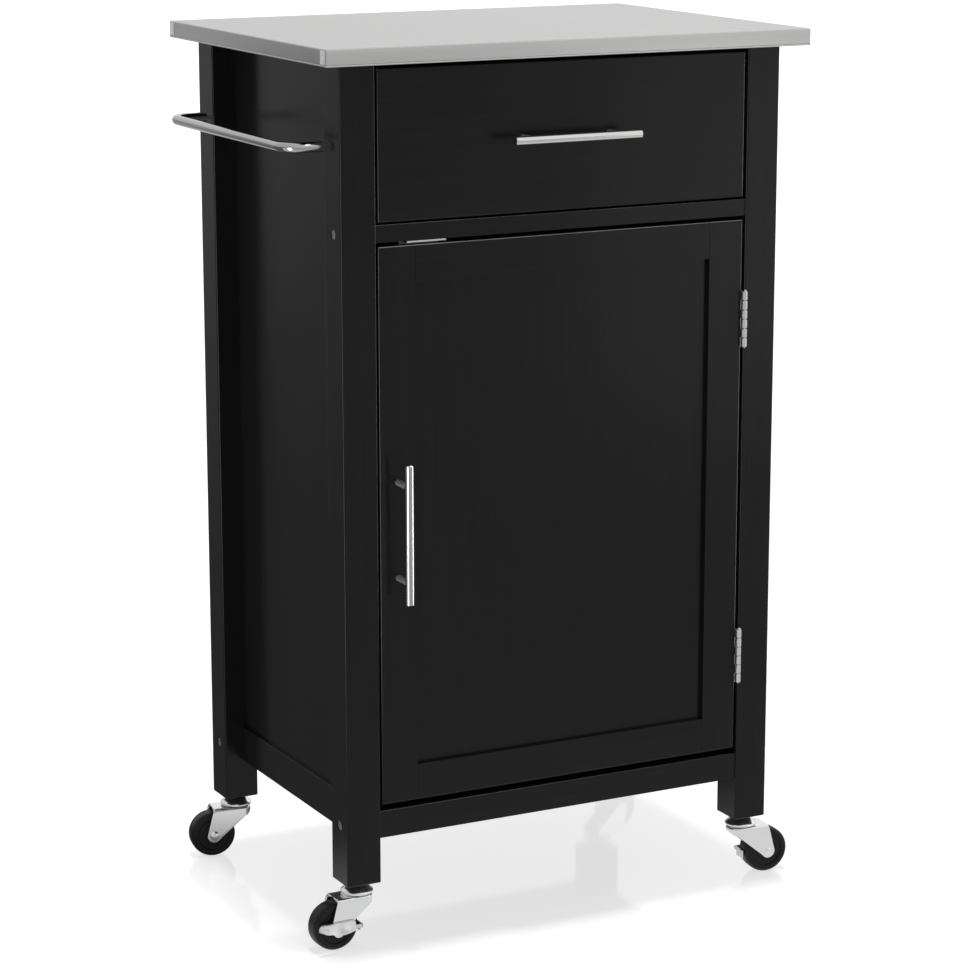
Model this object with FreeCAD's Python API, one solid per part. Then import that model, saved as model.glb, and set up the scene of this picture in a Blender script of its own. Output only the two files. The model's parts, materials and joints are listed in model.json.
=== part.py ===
import FreeCAD, Part
import math
import os

V = FreeCAD.Vector
X_AXIS, Y_AXIS, Z_AXIS = V(1, 0, 0), V(0, 1, 0), V(0, 0, 1)

# A rolling kitchen island cart.  All sizes in millimetres.  The cart is laid out with x = 0 midway
# between the posts, y = 0 midway between front and back (the front faces -Y) and z = 0 on the floor.
# The last section moves it so that the origin is under the middle of its outline.

# ---- driving dimensions: the whole cart ----
total_height = 900.0            # floor to the upper face of the worktop
frame_width = 489.0             # across the outer faces of the posts
frame_depth = 348.0             # front to back across the posts
wheel_diameter = 49.0
caster_head = 18.0              # top of the wheel to the foot of a post
caster_height = wheel_diameter + caster_head

# posts
post_size = 37.0
post_edge_radius = 1.5
post_foot_chamfer = 0.8

# worktop: a folded steel tray over a board
worktop_thickness = 17.0
side_overhang = 23.5
front_overhang = 21.5
skin_thickness = 0.8
skin_lip = 12.0                 # width of the edge returned under the board
worktop_corner_radius = 2.0

# rails and panels
panel_thickness = 12.0
side_rail_thickness = 16.0
side_rail_height = 38.4
low_rail_height = 28.3          # front and back rails under the cabinet
mid_rail_height = 17.5          # between door and drawer
low_rail_centre_above_foot = 60.0
front_setback = 1.8             # front rails behind the faces of the posts
rail_edge_radius = 1.0
cleat_size = 18.0
cleat_end_gap = 2.0

# fasteners of the frame
bolt_radius = 3.0
bolt_head_radius = 4.9
bolt_head_height = 4.0
bolt_head_recess = 1.0
bolt_key_flats = 4.0
bolt_key_depth = 2.4
counterbore_gap = 0.3
bolt_reach = 28.0               # bolt length inside the rail
barrel_radius = 5.0
barrel_length = 12.0
barrel_inset = 20.0             # barrel nut behind the end of the rail
worktop_screw_radius = 2.0
worktop_screw_head_radius = 3.8
worktop_screw_head_height = 2.4
worktop_screw_bite = 11.0       # depth in the worktop board
worktop_screw_end_inset = 30.0

# shelf
shelf_thickness = 12.0
shelf_height = 270.0            # underside above the cabinet floor
shelf_side_gap = 1.0
shelf_front_inset = 9.0         # behind the door
shelf_back_gap = 2.0
shelf_pin_radius = 2.5
shelf_pin_depth = 8.0           # in the side panel
shelf_pin_reach = 9.0           # under the shelf
shelf_pin_end_inset = 50.0      # from the inner faces of the posts
shelf_pin_collar_radius = 4.0
shelf_pin_collar = 1.2

# door
door_thickness = 18.0
door_setback = 0.8
door_side_gap = 2.2
door_top_gap = 3.3
door_bottom_gap = 6.0
stile_width = 39.5
door_rail_height = 37.5
door_edge_radius = 2.5
door_panel_thickness = 6.0
door_panel_setback = 5.0        # panel face behind the frame face
groove_depth = 8.0
groove_end_gap = 0.5
joint_line = 0.3                # fine line where stiles and rails meet

# butt hinges
hinge_height = 58.0
hinge_inset = 73.0              # hinge end to door end
hinge_leaf_depth = 18.0
hinge_leaf_thickness = 1.0
knuckle_radius = 2.8
knuckle_count = 6
knuckle_gap = 0.2
knuckle_relief = 0.3
hinge_pin_radius = 1.25
hinge_pin_clearance = 0.05
hinge_pin_cap = 1.0             # length of the pin's cap at each end
hinge_pin_cap_radius = 2.2
hinge_screw_radius = 1.3
hinge_screw_head_radius = 2.4
hinge_screw_length = 13.0
hinge_screw_setback = 11.0      # from the knuckle's axis
hinge_screw_pitch = 18.0
hinge_screw_count = 3

# drawer
drawer_front_height = 148.1
drawer_front_thickness = 18.0
drawer_side_gap = 2.4
drawer_top_gap = 5.0
drawer_bottom_gap = 1.7
drawer_depth = 275.0            # length of the box behind the front
drawer_board = 12.0
drawer_side_rise = 15.0         # side's lower edge above the front's lower edge
drawer_side_drop = 28.1         # side's upper edge below the front's upper edge
drawer_back_drop = 8.0
drawer_bottom_thickness = 5.0
drawer_bottom_rise = 10.0
drawer_groove = 6.0
drawer_groove_gap = 0.5

# drawer runners: nested channels
runner_space = 12.7             # between drawer side and cabinet side
runner_height = 30.0
runner_rise = 8.0               # above the lower edge of the drawer side
runner_setback = 8.0            # behind the drawer front
runner_thickness = 1.2
runner_flange = 9.0
runner_clearance = 0.35
runner_length = 268.0

# bar pulls
pull_length = 140.0
pull_radius = 4.3
pull_centres = 96.0
pull_standoff = 25.0            # bar's centre line off the face
pull_post_radius = 3.2
pull_stud_radius = 1.9
pull_stud_depth = 12.0
pull_end_chamfer = 0.6
door_pull_centre_above_bottom = 280.0

# towel rail on the left side
towel_rail_radius = 5.0
towel_rail_reach = 42.0         # centre line off the faces of the posts
towel_rail_bend = 17.0
towel_rail_end_inset = 28.5     # from the outer faces of the posts
towel_rail_drop = 79.0          # below the underside of the worktop
towel_spigot_radius = 1.8
towel_spigot_depth = 15.0
towel_rail_stand_off = 5.0      # the bar stops this far from the post and the spigot goes on

# magnetic catch at the free side of the door
catch_width = 42.0
catch_plate_thickness = 1.6
catch_side_inset = 33.5         # from the inner face of the left post
catch_magnet_depth = 14.0
catch_magnet_height = 13.0
catch_gap = 0.2
strike_thickness = 1.0
strike_width = 30.0
strike_height = 12.0

# casters: swivel axis at the middle of each post, wheel trailing behind it
wheel_width = 20.0
wheel_shoulder = 3.5
wheel_recess = 2.0
wheel_rim_depth = 7.5
hub_radius = 7.5
hub_side_gap = 0.3
caster_trail = 27.5
axle_radius = 3.0
axle_clearance = 0.05
axle_head_radius = 5.0
axle_head_height = 2.4
axle_peen_radius = 3.9
axle_peen_height = 0.9
axle_dimple_mouth = 1.95
axle_dimple_floor = 1.0
fork_thickness = 1.8
fork_wheel_gap = 1.5            # between wheel side and fork leg
fork_crown_gap = 3.0            # above the wheel
fork_crown_thickness = 2.0
fork_race_radius = 15.5
fork_race_rise = 0.8
fork_leg_end_radius = 7.5
fork_skirt = 7.7                # depth of the front skirt at the legs
fork_skirt_front = 2.5
swivel_gap = 0.8                # between the fork's race and the cap's rim
swivel_clearance = 0.08
cap_radius = 16.6
cap_rim_height = 3.4
cap_wall = 1.4
cap_crown_radius = 9.0
stem_radius = 4.0
stem_depth = 30.0               # in the post
stem_nut_flats = 13.0
stem_nut_height = 3.0
kingpin_head_radius = 6.0
kingpin_head_height = 1.8
kingpin_head_gap = 0.3

# rocker brakes on the front casters
brake_offset = 2.5              # rocker's pivot boss below the axle
brake_boss_radius = 6.5
brake_boss_height = 1.9
brake_clearance = 0.06
brake_sheet = 1.5
brake_leg_gap = 0.2
brake_shoe_gap = 0.9
brake_shoe_height = 9.0
brake_shoe_drop = 0.5           # shoe's upper edge below the axle
brake_shoe_reach = 5.0          # across the tread, past its middle
brake_eye_wall = 3.0            # metal round the boss
brake_eye_rise = 4.75           # half the height of the plate's straight sides
brake_nose_rise = 3.0
brake_hole_run_out = 1.0
brake_pedal_out = 7.5           # how far the pedal's skirt leans out
brake_wing_length = 22.5        # behind the axle
brake_nose_length = 16.0        # in front of the axle
brake_pedal_rise = 11.5         # pedal's upper edge above the axle

# headings of the casters: the way each wheel trails, in degrees from +X
caster_headings = {"front_left": 182.0, "front_right": -5.0, "rear_left": 171.0, "rear_right": 12.0}
braked_casters = ("front_left", "front_right")

# ---- places worked out from the sizes above ----
half_width = frame_width / 2
half_depth = frame_depth / 2
inner_x = half_width - post_size
inner_y = half_depth - post_size
post_x = half_width - post_size / 2
post_y = half_depth - post_size / 2
board_under_z = total_height - worktop_thickness + skin_thickness
low_rail_z = caster_height + low_rail_centre_above_foot
side_rail_top = low_rail_z + side_rail_height / 2
low_rail_top = low_rail_z + low_rail_height / 2
rail_depth = post_size - front_setback
drawer_z1 = board_under_z - drawer_top_gap
drawer_z0 = drawer_z1 - drawer_front_height
mid_rail_top = drawer_z0 - drawer_bottom_gap
mid_rail_under = mid_rail_top - mid_rail_height
mid_rail_z = (mid_rail_top + mid_rail_under) / 2
door_z0 = low_rail_top + door_bottom_gap
door_z1 = mid_rail_under - door_top_gap
door_front_y = -half_depth + door_setback
door_back_y = door_front_y + door_thickness
door_half_width = inner_x - door_side_gap
hinge_x = inner_x - door_side_gap / 2
hinge_y = -half_depth - knuckle_radius
hinge_centres = (door_z0 + hinge_inset + hinge_height / 2, door_z1 - hinge_inset - hinge_height / 2)
door_pull_x = -door_half_width + stile_width / 2
door_pull_z = door_z0 + door_pull_centre_above_bottom
drawer_front_y = -half_depth + door_setback
drawer_box_y0 = drawer_front_y + drawer_front_thickness
drawer_box_y1 = drawer_box_y0 + drawer_depth
drawer_outer_x = inner_x - runner_space
drawer_inner_x = drawer_outer_x - drawer_board
drawer_side_z0 = drawer_z0 + drawer_side_rise
drawer_side_z1 = drawer_z1 - drawer_side_drop
drawer_floor_top = drawer_side_z0 + drawer_bottom_rise + drawer_bottom_thickness
drawer_pull_z = (drawer_z0 + drawer_z1) / 2
shelf_z = low_rail_top + shelf_height
towel_rail_z = total_height - worktop_thickness - towel_rail_drop
towel_rail_half = half_depth - towel_rail_end_inset
wheel_radius = wheel_diameter / 2
fork_half_inner = wheel_width / 2 + fork_wheel_gap
fork_half_outer = fork_half_inner + fork_thickness
crown_under = wheel_diameter + fork_crown_gap
crown_top = crown_under + fork_crown_thickness
cap_rim_z = crown_top + fork_race_rise + swivel_gap
brake_pivot_z = wheel_radius - brake_offset
brake_sheet_y0 = fork_half_outer + brake_leg_gap
brake_sheet_y1 = brake_sheet_y0 + brake_sheet
corner_signs = {"front_left": (-1, -1), "front_right": (1, -1), "rear_left": (-1, 1), "rear_right": (1, 1)}

nodes = {}


# ---- small modelling helpers ----
def block(x0, x1, y0, y1, z0, z1):
    return Part.makeBox(x1 - x0, y1 - y0, z1 - z0, V(x0, y0, z0))


def rod(radius, start, end):
    way = end.sub(start)
    return Part.makeCylinder(radius, way.Length, start, way)


def mirrored_x(shape):
    return shape.mirror(V(0, 0, 0), X_AXIS)


def on_side(shape, sign):
    """A shape made for the right side (+X), or its mirror image on the left."""
    return shape if sign > 0 else mirrored_x(shape)


def rounded(shape, radius, wanted):
    """Fillets the straight edges whose middle point and direction pass the test."""
    picked = []
    for edge in shape.Edges:
        if isinstance(edge.Curve, Part.Line):
            middle = edge.valueAt((edge.FirstParameter + edge.LastParameter) / 2)
            if wanted(middle, edge.Curve.Direction):
                picked.append(edge)
    return shape.makeFillet(radius, picked)


def upright(direction):
    return abs(direction.z) > 0.9


def group(solids):
    return Part.makeCompound(solids)


def prism(points, way):
    """Extrudes a closed outline, given as a list of vectors, along a vector."""
    return Part.Face(Part.makePolygon(points + [points[0]])).extrude(way)


def hexagon(flats, centre, way):
    """Hexagonal prism from a centre point along a vector that lies on a main axis."""
    radius = flats / math.sqrt(3)
    side = Y_AXIS if abs(way.y) < 0.5 * way.Length else X_AXIS
    other = way.cross(side).normalize()
    points = []
    for step in range(6):
        turn = math.radians(60 * step)
        points.append(centre + side * (radius * math.cos(turn)) + other * (radius * math.sin(turn)))
    return prism(points, way)


def turned(points, centre, axis):
    """Solid of revolution about an axis through centre."""
    return Part.Face(Part.makePolygon(points + [points[0]])).revolve(centre, axis, 360)


# ---- posts: square hardwood legs that run from the worktop to the casters ----
def make_post(sign_x, sign_y):
    x, y = sign_x * post_x, sign_y * post_y
    half = post_size / 2
    post = block(x - half, x + half, y - half, y + half, caster_height, board_under_z)
    post = rounded(post, post_edge_radius, lambda middle, way: upright(way))
    foot = [edge for edge in post.Edges if abs(edge.BoundBox.ZMax - caster_height) < 0.01]
    return post.makeChamfer(post_foot_chamfer, foot)


for corner, (sign_x, sign_y) in corner_signs.items():
    nodes["post_" + corner] = make_post(sign_x, sign_y)


# ---- side frames: a rail at the bottom and a board that runs up to the worktop ----
def make_side_rail():
    rail = block(inner_x, inner_x + side_rail_thickness, -inner_y, inner_y,
                 low_rail_z - side_rail_height / 2, side_rail_top)
    outer = inner_x + side_rail_thickness
    return rounded(rail, rail_edge_radius,
                   lambda middle, way: abs(middle.x - outer) < 0.1 and not upright(way))


def make_side_panel():
    return block(inner_x, inner_x + panel_thickness, -inner_y, inner_y, side_rail_top, board_under_z)


for side, sign in (("left", -1), ("right", 1)):
    nodes["side_rail_" + side] = on_side(make_side_rail(), sign)
    nodes["side_panel_" + side] = on_side(make_side_panel(), sign)


# ---- front and back rails, back board, cabinet floor ----
def make_cross_rail(y_face, inward, z0, z1):
    """A rail between two posts, its face at y_face and its depth running inward."""
    y_inner = y_face + inward * rail_depth
    rail = block(-inner_x, inner_x, min(y_face, y_inner), max(y_face, y_inner), z0, z1)
    return rounded(rail, rail_edge_radius,
                   lambda middle, way: abs(middle.y - y_face) < 0.1 and abs(way.x) > 0.9)


front_face_y = -half_depth + front_setback
low_rail_under = low_rail_top - low_rail_height
nodes["front_low_rail"] = make_cross_rail(front_face_y, 1, low_rail_under, low_rail_top)
nodes["front_mid_rail"] = make_cross_rail(front_face_y, 1, mid_rail_under, mid_rail_top)
nodes["back_low_rail"] = make_cross_rail(half_depth - front_setback, -1, low_rail_under, low_rail_top)
nodes["back_panel"] = block(-inner_x, inner_x, inner_y, inner_y + panel_thickness,
                            low_rail_top, board_under_z)
nodes["cabinet_floor"] = block(-inner_x, inner_x, -inner_y, inner_y,
                               low_rail_top - panel_thickness, low_rail_top)


# ---- top cleats and the screws that hold the worktop ----
def make_cleat(sign):
    reach = inner_y - cleat_end_gap
    cleat = block(inner_x - cleat_size, inner_x, -reach, reach, board_under_z - cleat_size, board_under_z)
    return on_side(cleat, sign)


def make_worktop_screw(x, y):
    under = board_under_z - cleat_size
    shank = rod(worktop_screw_radius, V(x, y, under), V(x, y, board_under_z + worktop_screw_bite))
    head = rod(worktop_screw_head_radius, V(x, y, under - worktop_screw_head_height), V(x, y, under))
    return shank.fuse(head).removeSplitter()


screw_reach = inner_y - worktop_screw_end_inset
worktop_screws = []
for sign in (-1, 1):
    for y in (-screw_reach, 0, screw_reach):
        worktop_screws.append(make_worktop_screw(sign * (inner_x - cleat_size / 2), y))
nodes["worktop_screws"] = group(worktop_screws)
nodes["top_cleats"] = group([make_cleat(sign) for sign in (-1, 1)]).cut(nodes["worktop_screws"])


# ---- worktop: brushed steel tray, folded down and under the edge of a board ----
def make_worktop():
    half_x = half_width + side_overhang
    half_y = half_depth + front_overhang
    under = total_height - worktop_thickness
    outer = block(-half_x, half_x, -half_y, half_y, under, total_height)
    outer = rounded(outer, worktop_corner_radius, lambda middle, way: upright(way))
    top_edges = [edge for edge in outer.Edges if abs(edge.BoundBox.ZMin - total_height) < 0.01]
    outer = outer.makeFillet(skin_thickness, top_edges)
    inset_x, inset_y = half_x - skin_thickness, half_y - skin_thickness
    core = block(-inset_x, inset_x, -inset_y, inset_y, board_under_z, total_height - skin_thickness)
    core = rounded(core, worktop_corner_radius - skin_thickness, lambda middle, way: upright(way))
    lip_x, lip_y = half_x - skin_lip, half_y - skin_lip
    window = block(-lip_x, lip_x, -lip_y, lip_y, under, board_under_z)
    return outer.cut(core).cut(window), core.cut(nodes["worktop_screws"])


nodes["worktop_skin"], nodes["worktop_board"] = make_worktop()


# ---- frame bolts: cap screws through the posts into barrel nuts in the cross rails ----
def make_frame_bolt(y, z):
    seat = half_width - bolt_head_recess - bolt_head_height
    outer = seat + bolt_head_height
    bolt = rod(bolt_head_radius, V(seat, y, z), V(outer, y, z))
    bolt = bolt.fuse(rod(bolt_radius, V(inner_x - bolt_reach, y, z), V(seat, y, z)))
    return bolt.cut(hexagon(bolt_key_flats, V(outer - bolt_key_depth, y, z), V(bolt_key_depth, 0, 0)))


def make_bolt_hole(y, z):
    seat = half_width - bolt_head_recess - bolt_head_height
    counterbore = rod(bolt_head_radius + counterbore_gap, V(seat, y, z), V(half_width, y, z))
    return counterbore.fuse(rod(bolt_radius, V(inner_x - bolt_reach, y, z), V(seat, y, z)))


def make_barrel_nut(y, z):
    x, half = inner_x - barrel_inset, barrel_length / 2
    nut = rod(barrel_radius, V(x, y, z - half), V(x, y, z + half))
    return nut.cut(rod(bolt_radius, V(inner_x - bolt_reach, y, z), V(inner_x, y, z)))


def make_barrel_hole(y, z, under):
    x = inner_x - barrel_inset
    return rod(barrel_radius, V(x, y, under), V(x, y, z + barrel_length / 2))


bolt_places = {"front_mid_rail": (-post_y, mid_rail_z, mid_rail_under),
               "front_low_rail": (-post_y, low_rail_z, low_rail_under),
               "back_low_rail": (post_y, low_rail_z, low_rail_under)}
bolts, barrels = [], []
for rail_name, (y, z, under) in bolt_places.items():
    for side, sign in (("left", -1), ("right", 1)):
        bolts.append(on_side(make_frame_bolt(y, z), sign))
        barrels.append(on_side(make_barrel_nut(y, z), sign))
        post_name = "post_" + ("front_" if y < 0 else "rear_") + side
        hole = on_side(make_bolt_hole(y, z), sign)
        nodes[post_name] = nodes[post_name].cut(hole)
        nodes[rail_name] = nodes[rail_name].cut(hole).cut(on_side(make_barrel_hole(y, z, under), sign))
nodes["frame_bolts"] = group(bolts)
nodes["barrel_nuts"] = group(barrels)


# ---- shelf on four pins in the side panels ----
def make_shelf_pin(y):
    z = shelf_z - shelf_pin_radius
    pin = rod(shelf_pin_radius, V(inner_x - shelf_pin_reach, y, z), V(inner_x + shelf_pin_depth, y, z))
    collar = rod(shelf_pin_collar_radius, V(inner_x - shelf_pin_collar, y, z), V(inner_x, y, z))
    below = block(inner_x - shelf_pin_reach, inner_x, y - shelf_pin_collar_radius,
                  y + shelf_pin_collar_radius, shelf_z - 2 * shelf_pin_collar_radius, shelf_z)
    return pin.fuse(collar.common(below)).removeSplitter()


shelf_pins = []
for sign in (-1, 1):
    for y in (-inner_y + shelf_pin_end_inset, inner_y - shelf_pin_end_inset):
        shelf_pins.append(on_side(make_shelf_pin(y), sign))
nodes["shelf_pins"] = group(shelf_pins)
for side in ("left", "right"):
    nodes["side_panel_" + side] = nodes["side_panel_" + side].cut(nodes["shelf_pins"])
shelf_half = inner_x - shelf_side_gap
nodes["shelf"] = block(-shelf_half, shelf_half, door_back_y + shelf_front_inset, inner_y - shelf_back_gap,
                       shelf_z, shelf_z + shelf_thickness)


# ---- door: grooved stiles and rails round a thin flat panel ----
def make_front_slab(half, front_y, thickness, z0, z1, radius):
    slab = block(-half, half, front_y, front_y + thickness, z0, z1)
    return rounded(slab, radius, lambda middle, way: abs(middle.y - front_y) < 0.1)


def make_door():
    slab = make_front_slab(door_half_width, door_front_y, door_thickness, door_z0, door_z1, door_edge_radius)
    opening_x = door_half_width - stile_width
    low, high = door_z0 + door_rail_height, door_z1 - door_rail_height
    panel_y0 = door_front_y + door_panel_setback
    panel_y1 = panel_y0 + door_panel_thickness
    groove = block(-opening_x - groove_depth, opening_x + groove_depth, panel_y0, panel_y1,
                   low - groove_depth, high + groove_depth)
    stile_groove = block(-opening_x - groove_depth, opening_x + groove_depth, panel_y0, panel_y1,
                         door_z0, door_z1)
    tongue = groove_depth - groove_end_gap
    shoulder = opening_x - joint_line
    parts = {}
    for name, x0, x1 in (("door_stile_pull_side", -door_half_width, -opening_x),
                         ("door_stile_hinge_side", opening_x, door_half_width)):
        stile = slab.common(block(x0, x1, door_front_y, door_back_y, door_z0, door_z1))
        parts[name] = stile.cut(stile_groove)
    for name, z0, z1 in (("door_rail_lower", door_z0, low), ("door_rail_upper", high, door_z1)):
        rail = slab.common(block(-shoulder, shoulder, door_front_y, door_back_y, z0, z1))
        tenons = block(-opening_x - tongue, opening_x + tongue, panel_y0, panel_y1, z0, z1)
        parts[name] = rail.fuse(tenons).cut(groove)
    parts["door_panel"] = block(-opening_x - tongue, opening_x + tongue, panel_y0, panel_y1,
                                low - tongue, high + tongue)
    return parts


nodes.update(make_door())


# ---- butt hinges: knuckles stand proud of the gap between door and post ----
knuckle_pitch = hinge_height / knuckle_count


def knuckle_rods(centre_z, first, radius, trim):
    """Every second knuckle of a hinge, as cylinders about its axis."""
    rods = []
    for index in range(first, knuckle_count, 2):
        z0 = centre_z - hinge_height / 2 + index * knuckle_pitch + trim
        rods.append(rod(radius, V(hinge_x, hinge_y, z0), V(hinge_x, hinge_y, z0 + knuckle_pitch - 2 * trim)))
    return rods


def make_leaf(centre_z, wall_x, into, own, other, bore):
    """One leaf: a plate against the wood at wall_x, rolled into its own knuckles."""
    free_x = wall_x - into * hinge_leaf_thickness
    half = hinge_height / 2
    plate = block(min(wall_x, free_x), max(wall_x, free_x), hinge_y, hinge_y + hinge_leaf_depth,
                  centre_z - half, centre_z + half)
    for relief in knuckle_rods(centre_z, other, knuckle_radius + knuckle_relief, 0):
        plate = plate.cut(relief)
    for knuckle in knuckle_rods(centre_z, own, knuckle_radius, knuckle_gap / 2):
        plate = plate.fuse(knuckle)
    axis_top = V(hinge_x, hinge_y, centre_z + half)
    plate = plate.cut(rod(bore, V(hinge_x, hinge_y, centre_z - half), axis_top))
    return plate.removeSplitter()


def make_hinge_screw(wall_x, into, z):
    y = hinge_y + hinge_screw_setback
    head_x = wall_x - into * hinge_leaf_thickness
    way = V(into, 0, 0)
    head = Part.makeCone(hinge_screw_head_radius, hinge_screw_radius, hinge_leaf_thickness,
                         V(head_x, y, z), way)
    shank = Part.makeCylinder(hinge_screw_radius, hinge_screw_length, V(wall_x, y, z), way)
    return head.fuse(shank).removeSplitter()


def make_hinge_pin(centre_z):
    half = hinge_height / 2 + knuckle_gap
    low = V(hinge_x, hinge_y, centre_z - half)
    high = V(hinge_x, hinge_y, centre_z + half)
    pin = rod(hinge_pin_radius, low, high)
    for end, way in ((low, -1), (high, 1)):
        cap = Part.makeCone(hinge_pin_cap_radius, hinge_pin_radius, hinge_pin_cap, end, V(0, 0, way))
        pin = pin.fuse(cap)
    return pin.removeSplitter()


screw_steps = [(step - (hinge_screw_count - 1) / 2) * hinge_screw_pitch for step in range(hinge_screw_count)]
frame_leaves, door_leaves, frame_screws, door_screws = [], [], [], []
for centre_z in hinge_centres:
    frame_leaves.append(make_leaf(centre_z, inner_x, 1, 0, 1, hinge_pin_radius))
    door_leaves.append(make_leaf(centre_z, door_half_width, -1, 1, 0, hinge_pin_radius + hinge_pin_clearance))
    for step in screw_steps:
        frame_screws.append(make_hinge_screw(inner_x, 1, centre_z + step))
        door_screws.append(make_hinge_screw(door_half_width, -1, centre_z + step))
nodes["hinge_pins"] = group([make_hinge_pin(centre_z) for centre_z in hinge_centres])
nodes["hinge_screws_frame"] = group(frame_screws)
nodes["hinge_screws_door"] = group(door_screws)
nodes["hinge_leaves_frame"] = group(frame_leaves).cut(nodes["hinge_screws_frame"])
nodes["hinge_leaves_door"] = group(door_leaves).cut(nodes["hinge_screws_door"])
nodes["post_front_right"] = nodes["post_front_right"].cut(nodes["hinge_screws_frame"])
nodes["door_stile_hinge_side"] = nodes["door_stile_hinge_side"].cut(nodes["hinge_screws_door"])


# ---- bar pulls: a round bar on two turned posts, one upright on the door, one level on the drawer ----
def make_pull(x, face_y, z, along):
    bar_y = face_y - pull_standoff
    centre = V(x, bar_y, z)
    half = along * (pull_length / 2)
    bar = rod(pull_radius, centre - half, centre + half)
    rims = [edge for edge in bar.Edges if isinstance(edge.Curve, Part.Circle)]
    bar = bar.makeChamfer(pull_end_chamfer, rims)
    posts = []
    for sign in (-1, 1):
        foot = V(x, face_y, z) + along * (sign * pull_centres / 2)
        tip = foot - V(0, pull_standoff, 0)
        shaft = rod(pull_post_radius, foot, tip).cut(bar)
        stud = rod(pull_stud_radius, foot + V(0, pull_stud_depth, 0), tip)
        posts.append(shaft.fuse(stud).removeSplitter())
    posts = group(posts)
    return bar.cut(posts), posts


nodes["door_pull_bar"], nodes["door_pull_posts"] = make_pull(door_pull_x, door_front_y, door_pull_z, Z_AXIS)
nodes["door_stile_pull_side"] = nodes["door_stile_pull_side"].cut(nodes["door_pull_posts"])


# ---- drawer: thick front, a four-sided box and a thin bottom in grooves ----
def make_drawer():
    half_front = inner_x - drawer_side_gap
    front = make_front_slab(half_front, drawer_front_y, drawer_front_thickness, drawer_z0, drawer_z1,
                            door_edge_radius)
    bottom_z0 = drawer_floor_top - drawer_bottom_thickness
    tongue = drawer_groove - drawer_groove_gap
    groove = block(-drawer_inner_x - drawer_groove, drawer_inner_x + drawer_groove,
                   drawer_box_y0 - drawer_groove, drawer_box_y1, bottom_z0, drawer_floor_top)
    side = block(drawer_inner_x, drawer_outer_x, drawer_box_y0, drawer_box_y1, drawer_side_z0, drawer_side_z1)
    side = side.cut(groove)
    back = block(-drawer_inner_x, drawer_inner_x, drawer_box_y1 - drawer_board, drawer_box_y1,
                 drawer_floor_top, drawer_side_z1 - drawer_back_drop)
    bottom = block(-drawer_inner_x - tongue, drawer_inner_x + tongue, drawer_box_y0 - tongue, drawer_box_y1,
                   bottom_z0, drawer_floor_top)
    return {"drawer_front": front.cut(groove), "drawer_side_left": mirrored_x(side),
            "drawer_side_right": side, "drawer_back": back, "drawer_bottom": bottom}


nodes.update(make_drawer())
nodes["drawer_pull_bar"], nodes["drawer_pull_posts"] = make_pull(0, drawer_front_y, drawer_pull_z, X_AXIS)
nodes["drawer_front"] = nodes["drawer_front"].cut(nodes["drawer_pull_posts"])


# ---- drawer runners: the drawer's channel slides inside the cabinet's channel ----
def make_channel(web_x, opens, height, centre_z):
    """A C channel with its web at web_x, opening in the +X or -X direction."""
    far = web_x + opens * runner_flange
    half = height / 2
    y0 = drawer_box_y0 + runner_setback
    y1 = y0 + runner_length
    body = block(min(web_x, far), max(web_x, far), y0, y1, centre_z - half, centre_z + half)
    clear = half - runner_thickness
    inner = web_x + opens * runner_thickness
    hollow = block(min(inner, far), max(inner, far), y0, y1, centre_z - clear, centre_z + clear)
    return body.cut(hollow)


runner_z = drawer_side_z0 + runner_rise + runner_height / 2
cabinet_runner = make_channel(inner_x, -1, runner_height, runner_z)
inner_height = runner_height - 2 * (runner_thickness + runner_clearance)
drawer_runner = make_channel(drawer_outer_x, 1, inner_height, runner_z)
nodes["cabinet_runners"] = group([mirrored_x(cabinet_runner), cabinet_runner])
nodes["drawer_runners"] = group([mirrored_x(drawer_runner), drawer_runner])


# ---- towel rail: a bent round bar whose spigots sit in the two left posts ----
def make_towel_rail():
    x_end, x_out = -half_width - towel_rail_stand_off, -half_width - towel_rail_reach
    x_deep = -half_width + towel_spigot_depth
    end, bend, z = towel_rail_half, towel_rail_bend, towel_rail_z
    slant = bend * (1 - math.sqrt(0.5))
    starts = [V(x_end, -end, z), V(x_out + bend, -end, z), V(x_out, -end + bend, z),
              V(x_out, end - bend, z), V(x_out + bend, end, z), V(x_end, end, z)]
    edges = [Part.LineSegment(starts[0], starts[1]).toShape(),
             Part.Arc(starts[1], V(x_out + slant, -end + slant, z), starts[2]).toShape(),
             Part.LineSegment(starts[2], starts[3]).toShape(),
             Part.Arc(starts[3], V(x_out + slant, end - slant, z), starts[4]).toShape(),
             Part.LineSegment(starts[4], starts[5]).toShape()]
    section = Part.Wire(Part.Circle(starts[0], X_AXIS, towel_rail_radius).toShape())
    rail = Part.Wire(edges).makePipeShell([section], True, True)
    for y in (-end, end):
        rail = rail.fuse(rod(towel_spigot_radius, V(x_end, y, z), V(x_deep, y, z)))
    return rail.removeSplitter()


nodes["towel_rail"] = make_towel_rail()
for post_name in ("post_front_left", "post_rear_left"):
    nodes[post_name] = nodes[post_name].cut(nodes["towel_rail"])


# ---- magnetic catch under the mid rail, and its strike on the back of the door ----
def make_catch():
    x0 = -inner_x + catch_side_inset
    x1 = x0 + catch_width
    plate_z0 = mid_rail_under - catch_plate_thickness
    magnet_y0 = door_back_y + strike_thickness + catch_gap
    magnet_y1 = magnet_y0 + catch_magnet_depth
    plate = block(x0, x1, front_face_y, magnet_y1, plate_z0, mid_rail_under)
    magnet = block(x0, x1, magnet_y0, magnet_y1, plate_z0 - catch_magnet_height, plate_z0)
    middle = (x0 + x1) / 2
    strike_z1 = door_z1 - catch_plate_thickness
    strike = block(middle - strike_width / 2, middle + strike_width / 2, door_back_y,
                   door_back_y + strike_thickness, strike_z1 - strike_height, strike_z1)
    return plate.fuse(magnet).removeSplitter(), strike


nodes["magnetic_catch"], nodes["catch_strike"] = make_catch()


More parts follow.
